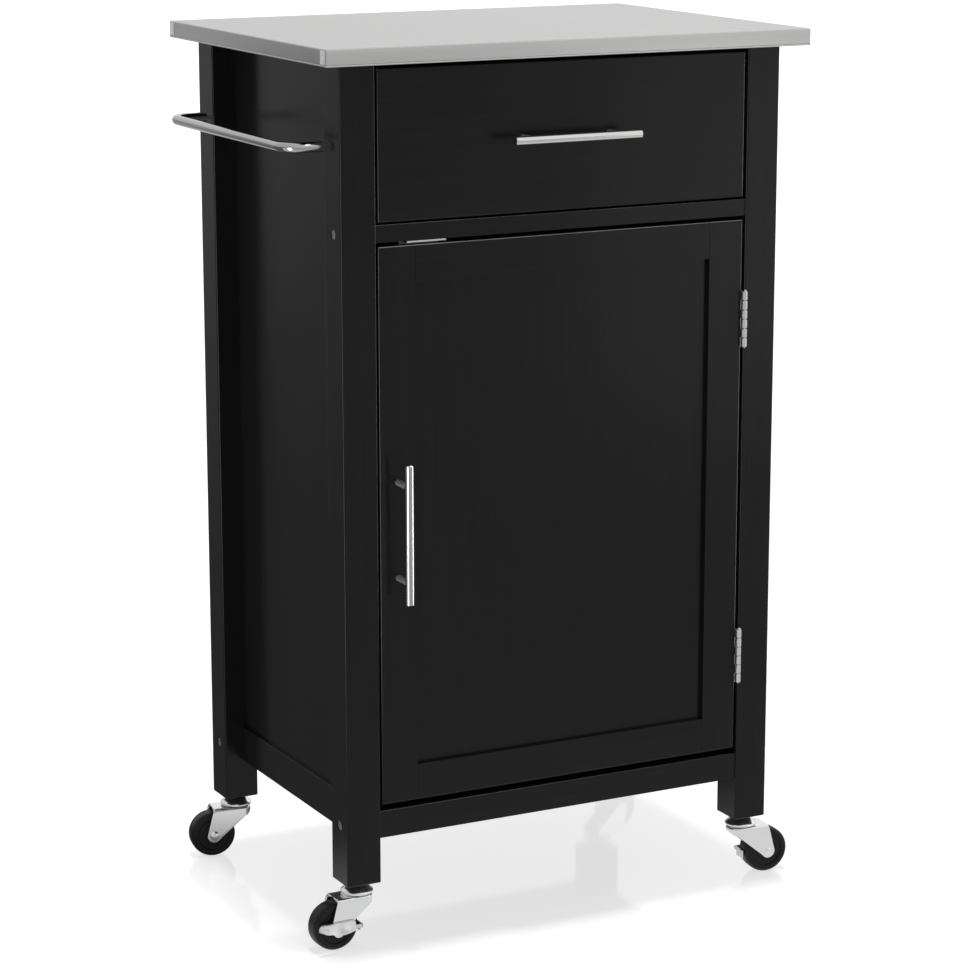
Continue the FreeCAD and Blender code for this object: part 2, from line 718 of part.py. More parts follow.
# ---- casters, made about a swivel axis at x = y = 0 with the wheel trailing along +X ----
def make_caster_stem():
    """Threaded stem, nut, bearing cap and kingpin head: the part that stays still in the post."""
    nut_z = caster_height - stem_nut_height
    rim_top = cap_rim_z + cap_rim_height
    crown = nut_z - cap_wall
    cap = turned([V(0, 0, crown), V(0, 0, nut_z), V(cap_crown_radius, 0, nut_z), V(cap_radius, 0, rim_top),
                  V(cap_radius, 0, cap_rim_z), V(cap_radius - cap_wall, 0, cap_rim_z),
                  V(cap_radius - cap_wall, 0, rim_top - cap_wall), V(cap_crown_radius, 0, crown)],
                 V(0, 0, 0), Z_AXIS)
    nut = hexagon(stem_nut_flats, V(0, 0, nut_z), V(0, 0, stem_nut_height))
    head_top = crown_under - kingpin_head_gap
    shaft = rod(stem_radius, V(0, 0, head_top - kingpin_head_height), V(0, 0, caster_height + stem_depth))
    head = rod(kingpin_head_radius, V(0, 0, head_top - kingpin_head_height), V(0, 0, head_top))
    return shaft.fuse([cap, nut, head]).removeSplitter()


def tangent_point(x, z, centre_x, centre_z, radius, sign):
    """Where a line from (x, z) touches a circle, on the side given by sign."""
    distance = math.hypot(centre_x - x, centre_z - z)
    heading = math.atan2(centre_z - z, centre_x - x)
    opening = math.acos(radius / distance)
    turn = heading + math.pi + sign * opening
    return centre_x + radius * math.cos(turn), centre_z + radius * math.sin(turn)


def make_fork_legs():
    """Two tapering legs with round ends at the axle."""
    front_x = -math.sqrt(fork_race_radius ** 2 - fork_half_outer ** 2)
    skirt_z = crown_top - fork_skirt - fork_crown_thickness
    end = (caster_trail, wheel_radius, fork_leg_end_radius)
    back_x, back_z = tangent_point(caster_trail, crown_top, *end, -1)
    low_x, low_z = tangent_point(front_x, skirt_z, *end, 1)
    legs = []
    for y in (-fork_half_outer, fork_half_inner):
        outline = [V(front_x, y, crown_top), V(front_x, y, skirt_z), V(low_x, y, low_z),
                   V(caster_trail, y, wheel_radius), V(back_x, y, back_z), V(caster_trail, y, crown_top)]
        leg = prism(outline, V(0, fork_thickness, 0))
        leg = leg.fuse(rod(fork_leg_end_radius, V(caster_trail, y, wheel_radius),
                           V(caster_trail, y + fork_thickness, wheel_radius)))
        legs.append(leg.removeSplitter())
    return legs, front_x, skirt_z


def make_fork(braked):
    """Pressed crown, skirt and legs; braked forks also have the boss that the rocker turns on."""
    legs, front_x, skirt_z = make_fork_legs()
    crown = rod(fork_race_radius, V(0, 0, crown_under), V(0, 0, crown_top))
    crown = crown.fuse(block(0, caster_trail, -fork_half_outer, fork_half_outer, crown_under, crown_top))
    race = rod(fork_race_radius - fork_thickness, V(0, 0, crown_top), V(0, 0, crown_top + fork_race_rise))
    skirt = rod(fork_race_radius, V(0, 0, skirt_z), V(0, 0, crown_top))
    skirt = skirt.cut(rod(fork_race_radius - fork_thickness, V(0, 0, skirt_z), V(0, 0, crown_under)))
    wide = 2 * fork_race_radius
    skirt = skirt.common(block(-wide, front_x + fork_thickness, -wide, wide, skirt_z, crown_top))
    nose_z = crown_under - fork_skirt_front
    slope = [V(front_x, -wide, skirt_z), V(-wide, -wide, skirt_z), V(-wide, -wide, nose_z),
             V(-fork_race_radius, -wide, nose_z)]
    skirt = skirt.cut(prism(slope, V(0, 2 * wide, 0)))
    fork = crown.fuse([race, skirt] + legs)
    if braked:
        boss_z = brake_pivot_z
        fork = fork.fuse(rod(brake_boss_radius, V(caster_trail, fork_half_outer, boss_z),
                             V(caster_trail, fork_half_outer + brake_boss_height, boss_z)))
    fork = fork.cut(rod(stem_radius + swivel_clearance, V(0, 0, skirt_z), V(0, 0, caster_height)))
    reach = fork_half_outer + brake_boss_height
    fork = fork.cut(rod(axle_radius, V(caster_trail, -reach, wheel_radius),
                        V(caster_trail, reach, wheel_radius)))
    return fork.removeSplitter()


def make_axle(braked):
    """Rivet with a domed head on the +Y side and a peened end on the other."""
    seat = fork_half_outer + (brake_boss_height if braked else 0)
    end = -fork_half_outer
    tip = end - axle_peen_height
    shank = rod(axle_radius, V(caster_trail, end, wheel_radius), V(caster_trail, seat, wheel_radius))
    rise = axle_head_height
    sphere_radius = (axle_head_radius ** 2 + rise ** 2) / (2 * rise)
    ball = Part.makeSphere(sphere_radius, V(caster_trail, seat + rise - sphere_radius, wheel_radius))
    ball_x0, ball_x1 = caster_trail - sphere_radius, caster_trail + sphere_radius
    dome = ball.common(block(ball_x0, ball_x1, seat, seat + 2 * rise,
                             wheel_radius - sphere_radius, wheel_radius + sphere_radius))
    peen = rod(axle_peen_radius, V(caster_trail, tip, wheel_radius), V(caster_trail, end, wheel_radius))
    dimple = Part.makeCone(axle_dimple_mouth, axle_dimple_floor, axle_peen_height,
                           V(caster_trail, tip, wheel_radius), Y_AXIS)
    return shank.fuse([dome, peen]).cut(dimple).removeSplitter()


def make_wheel():
    """Solid wheel: hub, recessed web and a rim with rounded shoulders."""
    half = wheel_width / 2
    hub_half = fork_half_inner - hub_side_gap
    bore = axle_radius + axle_clearance
    rim_inner = wheel_radius - wheel_rim_depth
    web = half - wheel_recess
    slant = wheel_shoulder * (1 - math.sqrt(0.5))
    outline = [(bore, 0), (bore, hub_half), (hub_radius, hub_half), (hub_radius, web), (rim_inner, web),
               (rim_inner + wheel_recess / 2, half), (wheel_radius - wheel_shoulder, half)]
    points = [V(caster_trail + radius, y, wheel_radius) for radius, y in outline]
    shoulder_end = V(caster_trail + wheel_radius, half - wheel_shoulder, wheel_radius)
    middle = V(caster_trail + wheel_radius - slant, half - slant, wheel_radius)
    edges = [Part.makeLine(first, second) for first, second in zip(points, points[1:])]
    edges.append(Part.Arc(points[-1], middle, shoulder_end).toShape())
    tread = V(caster_trail + wheel_radius, 0, wheel_radius)
    edges.append(Part.makeLine(shoulder_end, tread))
    edges.append(Part.makeLine(tread, points[0]))
    quarter = Part.Face(Part.Wire(edges)).revolve(V(caster_trail, 0, wheel_radius), Y_AXIS, 360)
    return quarter.fuse(quarter.mirror(V(0, 0, 0), Y_AXIS)).removeSplitter()


def make_brake_rocker():
    """Pedal, side plate and shoe, bent from one sheet; it turns on the fork's boss."""
    y0, y1 = brake_sheet_y0, brake_sheet_y1
    shoe_x1 = caster_trail - wheel_radius - brake_shoe_gap
    shoe_x0 = shoe_x1 - brake_sheet
    shoe_top = wheel_radius - brake_shoe_drop
    shoe_low = shoe_top - brake_shoe_height
    edge_z = wheel_radius + brake_pedal_rise
    wing_top = edge_z - brake_sheet
    wing_under = wing_top - brake_sheet
    eye = brake_boss_radius + brake_eye_wall
    eye_x0, eye_x1 = caster_trail - eye, caster_trail + eye
    nose_x = caster_trail - brake_nose_length
    tail_x = caster_trail + brake_wing_length
    outline = [V(shoe_x0, y0, shoe_low), V(eye_x0, y0, brake_pivot_z - brake_eye_rise),
               V(caster_trail, y0, brake_pivot_z - eye), V(eye_x1, y0, brake_pivot_z - brake_eye_rise),
               V(tail_x, y0, wing_under), V(tail_x, y0, wing_top), V(eye_x1, y0, edge_z),
               V(caster_trail - brake_eye_rise, y0, edge_z), V(nose_x, y0, wheel_radius + brake_nose_rise),
               V(shoe_x0, y0, shoe_top)]
    plate = prism(outline, V(0, brake_sheet, 0))
    shoe = block(shoe_x0, shoe_x1, -brake_shoe_reach, y1, shoe_low, shoe_top)
    lip_y = y1 + brake_pedal_out
    skirt_low = wheel_radius - brake_sheet
    skirt = prism([V(eye_x0, y0, edge_z), V(eye_x0, y0, wing_top), V(eye_x0, lip_y - brake_sheet, skirt_low),
                   V(eye_x0, lip_y, skirt_low), V(eye_x0, y1, edge_z)], V(2 * eye, 0, 0))
    wing = block(eye_x1, tail_x, y0, lip_y, wing_under, wing_top)
    nose = block(nose_x, eye_x0, y0, lip_y - brake_sheet, skirt_low, wheel_radius)
    rocker = plate.fuse([shoe, skirt, wing, nose])
    hole = brake_boss_radius + brake_clearance
    rocker = rocker.cut(rod(hole, V(caster_trail, y0 - brake_hole_run_out, brake_pivot_z),
                            V(caster_trail, y1, brake_pivot_z)))
    return rocker.removeSplitter()


def placed(shape, corner):
    sign_x, sign_y = corner_signs[corner]
    shape.rotate(V(0, 0, 0), Z_AXIS, caster_headings[corner])
    shape.translate(V(sign_x * post_x, sign_y * post_y, 0))
    return shape


stems = []
for corner in corner_signs:
    braked = corner in braked_casters
    stem = placed(make_caster_stem(), corner)
    stems.append(stem)
    nodes["post_" + corner] = nodes["post_" + corner].cut(stem)
    nodes["caster_fork_" + corner] = placed(make_fork(braked), corner)
    nodes["caster_axle_" + corner] = placed(make_axle(braked), corner)
    nodes["caster_wheel_" + corner] = placed(make_wheel(), corner)
    if braked:
        nodes["brake_rocker_" + corner] = placed(make_brake_rocker(), corner)
nodes["caster_stems"] = group(stems)


# ---- set the origin on the floor under the middle of the outline, and write one file per node ----
outline_box = group(list(nodes.values())).optimalBoundingBox(False, False)
to_origin = V(-outline_box.Center.x, -outline_box.Center.y, -outline_box.ZMin)
os.makedirs("parts", exist_ok=True)
for name, shape in nodes.items():
    shape.translate(to_origin)
    shape.exportStep("parts/" + name + ".step")
print(len(nodes), "nodes; moved by", to_origin)
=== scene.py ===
import json
import math

import bmesh
import bpy
from mathutils import Matrix, Vector

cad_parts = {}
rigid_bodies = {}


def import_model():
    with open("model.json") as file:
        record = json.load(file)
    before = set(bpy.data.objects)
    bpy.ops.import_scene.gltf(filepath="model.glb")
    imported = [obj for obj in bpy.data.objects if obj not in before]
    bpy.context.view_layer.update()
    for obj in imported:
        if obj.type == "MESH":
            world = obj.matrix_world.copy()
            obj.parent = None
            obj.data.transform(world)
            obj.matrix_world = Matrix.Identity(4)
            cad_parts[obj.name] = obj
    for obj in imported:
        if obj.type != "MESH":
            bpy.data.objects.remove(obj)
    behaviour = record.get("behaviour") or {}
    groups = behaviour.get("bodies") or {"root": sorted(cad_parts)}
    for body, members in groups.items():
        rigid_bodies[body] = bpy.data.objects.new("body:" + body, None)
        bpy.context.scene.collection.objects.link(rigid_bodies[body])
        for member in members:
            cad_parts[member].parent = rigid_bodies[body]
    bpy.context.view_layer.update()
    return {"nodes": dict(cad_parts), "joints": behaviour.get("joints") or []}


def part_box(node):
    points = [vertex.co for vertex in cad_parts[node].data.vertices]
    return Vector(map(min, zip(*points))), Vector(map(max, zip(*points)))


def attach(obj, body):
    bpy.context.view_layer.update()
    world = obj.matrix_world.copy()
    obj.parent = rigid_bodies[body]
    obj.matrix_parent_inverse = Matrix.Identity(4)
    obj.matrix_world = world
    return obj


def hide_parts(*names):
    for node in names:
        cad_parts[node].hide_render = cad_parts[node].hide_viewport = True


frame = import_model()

nodes = frame["nodes"]
mm = 0.001


# ---- camera ----
# The whole cart from its left front, three metres away and a little above the worktop, through
# a long lens that keeps the upright edges nearly parallel.
camera_place = Vector((-1.4755, -2.8624, 1.1541))
camera_yaw = math.radians(27.43)
camera_pitch = math.radians(-12.94)
camera_lens = 115.36
camera_reach = 100.0

camera_data = bpy.data.cameras.new("studio_camera")
camera_data.lens = camera_lens
camera_data.clip_end = camera_reach
camera = bpy.data.objects.new("studio_camera", camera_data)
bpy.context.scene.collection.objects.link(camera)
looking = Vector((math.sin(camera_yaw) * math.cos(camera_pitch),
                  math.cos(camera_yaw) * math.cos(camera_pitch),
                  math.sin(camera_pitch)))
camera.location = camera_place
camera.rotation_euler = looking.to_track_quat("-Z", "Y").to_euler()
bpy.context.scene.camera = camera
bpy.context.scene.view_settings.view_transform = "Standard"


# ---- posts, rails and panels ----
# Square hardwood posts with rails and boards let in between them, sprayed with satin black
# lacquer that keeps a trace of the wood's grain.
class Signal:
    """One value inside a node tree; arithmetic on it adds the Math nodes."""

    def __init__(self, wiring, socket):
        self.wiring = wiring
        self.socket = socket

    def maths(self, operation, *values):
        return self.wiring.node("Math", {"operation": operation}, dict(enumerate(values)))

    def __add__(self, other):
        return self.maths("ADD", self, other)

    def __sub__(self, other):
        return self.maths("SUBTRACT", self, other)

    def __rsub__(self, other):
        return self.maths("SUBTRACT", other, self)

    def __mul__(self, other):
        return self.maths("MULTIPLY", self, other)

    __radd__ = __add__
    __rmul__ = __mul__


class Wiring:
    """A node tree that is built by plain calls."""

    def __init__(self, tree):
        self.tree = tree

    def connect(self, socket, value):
        """Links a signal to a socket, or sets a number, vector or colour on it."""
        if isinstance(value, Signal):
            self.tree.links.new(value.socket, socket)
        elif isinstance(value, tuple) and len(socket.default_value) == 4:
            socket.default_value = (*value, 1)
        else:
            socket.default_value = value

    def node(self, kind, settings, values, output=0):
        """Adds a shader node; settings are set first, then its sockets' values or links."""
        made = self.tree.nodes.new("ShaderNode" + kind)
        for label, value in settings.items():
            setattr(made, label, value)
        for label, value in values.items():
            self.connect(made.inputs[label], value)
        return Signal(self, made.outputs[output])

    def blend(self, factor, first, second):
        """Mixes two colours."""
        return self.node("Mix", {"data_type": "RGBA"}, {0: factor, 6: first, 7: second}, 2)

    def span(self, value, start, end, low, high):
        """Spreads a value that runs from start to end over low to high, held at the ends."""
        return self.node("MapRange", {}, {"Value": value, "From Min": start, "From Max": end,
                                          "To Min": low, "To Max": high})


class Finish(Wiring):
    """A material of one Principled shader; uniform values are given to its sockets by name."""

    def __init__(self, name, **uniform):
        self.material = bpy.data.materials.new(name)
        self.material.use_nodes = True
        super().__init__(self.material.node_tree)
        self.shader = self.tree.nodes["Principled BSDF"]
        for label, value in uniform.items():
            self.feed(label.replace("_", " ").title().replace("Ior", "IOR"), value)

    def feed(self, label, value):
        self.connect(self.shader.inputs[label], value)

    def along(self, factors=(1, 1, 1), offset=(0, 0, 0)):
        """Object coordinates times one factor for each axis."""
        place = self.node("TexCoord", {}, {}, "Object")
        return self.node("Mapping", {}, {"Vector": place, "Scale": factors, "Location": offset})

    def noise(self, vector, scale, detail=2.0, roughness=0.5):
        return self.node("TexNoise", {}, {"Vector": vector, "Scale": scale, "Detail": detail,
                                          "Roughness": roughness})

    def relief(self, *layers):
        """Bump layers, each (height, strength, depth in metres), the broadest first."""
        normal = None
        for height, strength, depth in layers:
            values = {"Height": height, "Strength": strength, "Distance": depth}
            if normal:
                values["Normal"] = normal
            normal = self.node("Bump", {}, values)
        self.feed("Normal", normal)


def drawn_out(across, lengthwise, long_axis):
    """Factors for a pattern drawn out along one axis, 0 to 2 for x to z."""
    return tuple(lengthwise if axis == long_axis else across for axis in range(3))


def paint(finish, *names):
    """Gives CAD nodes a finish."""
    for name in names:
        node = nodes[name]
        node.data.materials.clear()
        node.data.materials.append(finish.material)


lacquer_black = (0.0054, 0.0054, 0.0056)
lacquer_worn = (0.0096, 0.0095, 0.0096)


def lacquer(name, grain_axis, seed):
    """Satin black over wood whose grain runs along one axis."""
    finish = Finish(name, specular_ior_level=0.185)
    fine_grain = finish.along(drawn_out(620.0, 11.0, grain_axis), (seed, seed, seed))
    broad_grain = finish.along(drawn_out(95.0, 3.0, grain_axis), (seed, 0, seed))
    grain = finish.noise(fine_grain, 1.0, 4.0, 0.65)
    figure = finish.noise(broad_grain, 1.0, 3.0, 0.55)
    peel = finish.noise(finish.along(), 420.0, 2.0)
    cloud = finish.noise(finish.along(offset=(0, seed, 0)), 9.0, 3.0)
    dust = finish.noise(finish.along(), 2600.0, 1.0)
    tone = finish.span(grain * 0.55 + figure * 0.3 + cloud * 0.15, 0.36, 0.66, 0.0, 1.0)
    finish.feed("Base Color", finish.blend(tone, lacquer_black, lacquer_worn))
    finish.feed("Roughness", 0.13 + 0.09 * grain + 0.06 * cloud + 0.03 * dust)
    finish.relief((peel, 0.03, 0.3 * mm), (grain, 0.07, 0.15 * mm))
    return finish


upright_lacquer = lacquer("lacquer_upright", 2, 0.0)
cross_lacquer = lacquer("lacquer_across", 0, 3.0)
side_lacquer = lacquer("lacquer_side", 1, 7.0)
corners = ("front_left", "front_right", "rear_left", "rear_right")
paint(upright_lacquer, *("post_" + corner for corner in corners))
paint(upright_lacquer, "side_panel_left", "side_panel_right", "back_panel")
paint(side_lacquer, "side_rail_left", "side_rail_right")
paint(cross_lacquer, "front_low_rail", "front_mid_rail", "back_low_rail")
paint(cross_lacquer, "cabinet_floor", "shelf")


# ---- worktop ----
# A tray of thin brushed stainless steel, its corners folded and ground, over a particle board
# coloured near black and screwed to black cleats.
steel = (0.65, 0.65, 0.645)


def brushed_steel(name, long_axis, fine=900.0, colour=steel, rough=0.27, depth=1.0, metallic=1.0):
    """Metal brushed along one axis; depth scales the relief and the streaks of the brushing."""
    finish = Finish(name, metallic=metallic)
    lines = finish.noise(finish.along(drawn_out(fine, fine / 90, long_axis)), 1.0, 3.0, 0.6)
    broad = finish.along(drawn_out(fine / 12, fine / 600, long_axis), (5, 5, 5))
    bands = finish.noise(broad, 1.0, 3.0, 0.6)
    cloud = finish.noise(finish.along(), 7.0, 2.0)
    dark = tuple(0.80 * part for part in colour)
    finish.feed("Base Color", finish.blend(lines * 0.6 + bands * 0.4, dark, colour))
    finish.feed("Roughness", rough + depth * (0.12 * lines + 0.05 * bands + 0.05 * cloud))
    finish.relief((bands, 0.05 * depth, 0.2 * mm), (lines, 0.10 * depth, 0.1 * mm))
    return finish


weld_distance = 0.004 * mm
shortest_edge = 0.002 * mm
crease_angle = math.radians(32)


def add_piece(name, shape, finish, body, slot, *replaced, turned_out=True):
    """Makes an object of a bmesh, in metres, smooth but for its corners, and rides it on a body."""
    bmesh.ops.remove_doubles(shape, verts=shape.verts, dist=weld_distance)
    bmesh.ops.dissolve_degenerate(shape, edges=shape.edges, dist=shortest_edge)
    if turned_out:
        bmesh.ops.recalc_face_normals(shape, faces=shape.faces)
    mesh = bpy.data.meshes.new(name)
    shape.to_mesh(mesh)
    shape.free()
    mesh.shade_smooth()
    mesh.set_sharp_from_angle(angle=crease_angle)
    mesh.materials.append(finish.material)
    piece = bpy.data.objects.new(name, mesh)
    bpy.context.scene.collection.objects.link(piece)
    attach(piece, body)
    if replaced:
        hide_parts(*replaced)


def rounded(shape, edges, width):
    """Rounds edges by a width."""
    bmesh.ops.bevel(shape, geom=edges, offset=width, segments=2, profile=0.5, affect="EDGES",
                    material=-1, clamp_overlap=True)


def edges_of(verts):
    """The edges that meet some vertices, each once."""
    return list(dict.fromkeys(edge for vert in verts for edge in vert.link_edges))


def slab(shape, low, high, rounding):
    """Adds a box between two corners, its edges rounded."""
    made = bmesh.ops.create_cube(shape, size=1)["verts"]
    for vert in made:
        vert.co = Vector(end if side > 0 else start for side, start, end in zip(vert.co, low, high))
    rounded(shape, edges_of(made), rounding)


skin_low, skin_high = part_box("worktop_skin")
skin_sheet = 0.8 * mm
skin_top_radius = 1.3 * mm
skin_corner = 2.0 * mm
skin_corner_steps = 4
skin_hem = 0.5 * mm                 # the rolled hem along the lower edge stands out this far
skin_hem_height = 1.8 * mm
skin_lip_width = 12 * mm            # the lip that turns in under the board
skin_hem_neck = 0.2 * mm
skin_smallest_bend = 0.02 * mm
skin_top_rings = (30 * mm, 3 * mm)  # two rings on the top face, this far in from the edge
flap_width = 13 * mm
flap_sheet = 0.4 * mm
flap_foot_gap = 2.4 * mm
flap_top_gap = 1.6 * mm
flap_rounding = 0.12 * mm


def tray_section():
    """The folded edge from the top face to the end of the lip, as (inset, height) pairs."""
    top, low = skin_high.z, skin_low.z
    section = [(skin_top_rings[0], top), (skin_hem + skin_top_rings[1], top)]
    for degrees in range(0, 91, 18):
        turn = math.radians(degrees)
        section.append((skin_hem + skin_top_radius * (1 - math.sin(turn)),
                        top - skin_top_radius * (1 - math.cos(turn))))
    section.append((skin_hem, low + skin_hem_height + skin_hem_neck))
    bead = skin_hem_height / 2
    for degrees in range(0, 181, 30):
        turn = math.radians(degrees)
        section.append((bead * (1 - math.sin(turn)), low + bead + bead * math.cos(turn)))
    return section + [(skin_lip_width, low)]


def tray_corner_point(quarter, share, inset, height):
    """A point on one of the four rounded corners of the tray's outline, drawn in by inset."""
    turn = (quarter + share) * math.pi / 2
    sign_x = 1 if quarter in (0, 3) else -1
    sign_y = 1 if quarter in (0, 1) else -1
    bend = max(skin_corner - inset, skin_smallest_bend)
    centre_x = (skin_high.x if sign_x > 0 else skin_low.x) - sign_x * (inset + bend)
    centre_y = (skin_high.y if sign_y > 0 else skin_low.y) - sign_y * (inset + bend)
    return Vector((centre_x + bend * math.cos(turn), centre_y + bend * math.sin(turn), height))


def make_tray():
    """One ring of vertices for each point of the section, bridged, closed on top and thickened."""
    shape = bmesh.new()
    loops = []
    for inset, height in tray_section():
        ring = [shape.verts.new(tray_corner_point(quarter, step / skin_corner_steps, inset, height))
                for quarter in range(4) for step in range(skin_corner_steps + 1)]
        loops.append([shape.edges.new(pair) for pair in zip(ring, ring[1:] + ring[:1])])
    for first, second in zip(loops, loops[1:]):
        bmesh.ops.bridge_loops(shape, edges=first + second)
    bmesh.ops.contextual_create(shape, geom=loops[0])
    bmesh.ops.recalc_face_normals(shape, faces=shape.faces)
    if max(shape.faces, key=lambda face: face.calc_area()).normal.z < 0:
        bmesh.ops.reverse_faces(shape, faces=shape.faces)
    bmesh.ops.solidify(shape, geom=shape.faces[:], thickness=skin_sheet)
    return shape


def make_corner_folds():
    """The four ground flaps where the sheet's end folds lap over its sides."""
    shape = bmesh.new()
    for sign_x, edge_x in ((-1, skin_low.x), (1, skin_high.x)):
        for sign_y, edge_y in ((-1, skin_low.y), (1, skin_high.y)):
            face_x = edge_x - sign_x * skin_hem
            xs = sorted((face_x, face_x + sign_x * flap_sheet))
            ys = sorted((edge_y - sign_y * (skin_corner + skin_hem), edge_y - sign_y * flap_width))
            slab(shape, (xs[0], ys[0], skin_low.z + flap_foot_gap),
                 (xs[1], ys[1], skin_high.z - flap_top_gap), flap_rounding)
    return shape


add_piece("worktop_tray", make_tray(), brushed_steel("worktop_steel", 0), "cart", "worktop_steel",
          "worktop_skin", turned_out=False)

corner_steel = Finish("ground_corner_steel", metallic=0.35)
grinding = corner_steel.noise(corner_steel.along((900, 900, 30)), 1.0, 3.0, 0.6)
corner_steel.feed("Base Color", corner_steel.blend(grinding, (0.72, 0.72, 0.72), (0.92, 0.92, 0.92)))
corner_steel.feed("Roughness", 0.32 + 0.2 * grinding)
corner_steel.relief((grinding, 0.15, 0.1 * mm))
add_piece("worktop_corner_folds", make_corner_folds(), corner_steel, "cart", "worktop_steel")

# The board is coloured near black all over.
board = Finish("near_black_board", roughness=0.6)
chips = board.node("TexVoronoi", {}, {"Vector": board.along((1, 1, 1.6)), "Scale": 520.0,
                                      "Randomness": 1.0}, "Color")
chip_tone = board.node("RGBToBW", {}, {"Color": chips})
fibre = board.noise(board.along((900, 120, 900)), 1.0, 3.0)
board.feed("Base Color", board.blend(chip_tone * 0.7 + fibre * 0.3, (0.008, 0.008, 0.008),
                                     (0.03, 0.028, 0.026)))
board.relief((chip_tone, 0.2, 0.3 * mm))
paint(board, "worktop_board")
paint(side_lacquer, "top_cleats")


# ---- frame fasteners and shelf pins ----
# Zinc-plated cap screws sunk in the posts, barrel nuts in the rails, and wood screws and shelf
# pins of the same plating.
def plated(name, colour, rough):
    """Plated steel with a faint mottle and fine handling marks."""
    finish = Finish(name, metallic=1.0)
    mottle = finish.noise(finish.along(), 260.0, 3.0, 0.6)
    specks = finish.noise(finish.along(), 2400.0, 2.0)
    dark = tuple(0.88 * part for part in colour)
    finish.feed("Base Color", finish.blend(mottle * 0.7 + specks * 0.3, dark, colour))
    finish.feed("Roughness", rough + 0.10 * mottle + 0.04 * specks)
    finish.relief((mottle, 0.03, 0.3 * mm), (specks, 0.03, 0.05 * mm))
    return finish


fastener_zinc = plated("fastener_zinc", (0.72, 0.72, 0.73), 0.26)
paint(fastener_zinc, "frame_bolts", "barrel_nuts", "worktop_screws", "shelf_pins")


# ---- door ----
# Two stiles and two rails grooved round a thin flat panel, and lacquered like the frame, with
# the grain along each piece.
paint(upright_lacquer, "door_stile_pull_side", "door_stile_hinge_side", "door_panel")
paint(cross_lacquer, "door_rail_lower", "door_rail_upper")


# ---- hinges ----
# Two nickel-plated butt hinges: each leaf is a steel strip rolled into three of the six knuckles,
# let in between door and post and held by three countersunk screws.
nickel = plated("nickel_plate", (0.74, 0.735, 0.72), 0.16)
paint(nickel, "hinge_pins")
joint_places = {joint["child"]: Vector(joint["pos_m"]) for joint in frame["joints"]
                if joint["type"] == "hinge"}
hinge_axis = joint_places["door"]
hinge_height = 58.0                 # this section's sizes are in millimetres
knuckle_count = 6
knuckle_radius = 2.8
knuckle_bore = 1.45
knuckle_chamfer = 0.45
knuckle_space = 0.3                 # left free at each end of a knuckle
leaf_depth = 18.0
leaf_sheet = 1.0
leaf_rounding = 0.15
leaf_behind_knuckle = 0.3
tongue_start = 0.6                  # the strip runs on from the leaf into each knuckle
tongue_overlap = 0.2
tongue_rounding = 0.1
leaf_screw_setback = 11.0
leaf_screw_pitch = 18.0
leaf_screw_head = [(0, -0.55), (0.75, -0.5), (1.05, 0.1), (2.1, 0.15), (2.4, 0.0), (2.4, -0.2)]
small_steps = 24
seam_distance = 0.0005


def turned(shape, outline, centre, axis, steps=48):
    """Spins an outline of (radius, height along the axis) pairs about an axis through centre."""
    axis = Vector(axis)
    side = axis.orthogonal().normalized()
    verts = [shape.verts.new(Vector(centre) + side * radius + axis * height)
             for radius, height in outline]
    edges = [shape.edges.new(pair) for pair in zip(verts, verts[1:])]
    bmesh.ops.spin(shape, geom=verts + edges, cent=centre, axis=axis, angle=2 * math.pi,
                   steps=steps, use_merge=True, use_duplicate=False)
    bmesh.ops.remove_doubles(shape, verts=shape.verts, dist=seam_distance)


def make_knuckle(shape, low, high):
    """One rolled knuckle round the pin, with its ends chamfered."""
    shoulder = knuckle_radius - knuckle_chamfer
    outline = [(knuckle_bore, low), (shoulder, low), (knuckle_radius, low + knuckle_chamfer),
               (knuckle_radius, high - knuckle_chamfer), (shoulder, high), (knuckle_bore, high),
               (knuckle_bore, low)]
    turned(shape, outline, (0, 0, 0), (0, 0, 1), small_steps)


def make_leaves(wall, first, centres):
    """Both hinges' leaves on one side; wall is the wood's face, as a distance from the axis."""
    shape = bmesh.new()
    pitch = hinge_height / knuckle_count
    inward = -math.copysign(1, wall)
    free = wall + inward * leaf_sheet
    x0, x1 = sorted((wall, free))
    leaf_start = knuckle_radius + leaf_behind_knuckle
    for centre in centres:
        foot = centre - hinge_height / 2
        slab(shape, (x0, leaf_start, foot), (x1, leaf_depth, foot + hinge_height), leaf_rounding)
        for index in range(first, knuckle_count, 2):
            low = foot + index * pitch + knuckle_space
            high = foot + (index + 1) * pitch - knuckle_space
            slab(shape, (x0, tongue_start, low), (x1, leaf_start + tongue_overlap, high),
                 tongue_rounding)
            make_knuckle(shape, low, high)
        for step in (-1, 0, 1):
            seat = (free, leaf_screw_setback, centre + step * leaf_screw_pitch)
            turned(shape, leaf_screw_head, seat, (inward, 0, 0), small_steps)
    shape.transform(Matrix.Translation((hinge_axis.x, hinge_axis.y, 0)) @ Matrix.Scale(mm, 4))
    return shape


leaf_low, leaf_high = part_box("hinge_leaves_frame")
hinge_middles = (leaf_low.z / mm + hinge_height / 2, leaf_high.z / mm - hinge_height / 2)
post_face = (leaf_high.x - hinge_axis.x) / mm
stile_face = (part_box("hinge_leaves_door")[0].x - hinge_axis.x) / mm
add_piece("hinge_leaves_cart_side", make_leaves(post_face, 0, hinge_middles), nickel, "cart",
          "hinge_steel", "hinge_leaves_frame", "hinge_screws_frame")
add_piece("hinge_leaves_door_side", make_leaves(stile_face, 1, hinge_middles), nickel, "door",
          "hinge_steel", "hinge_leaves_door", "hinge_screws_door")
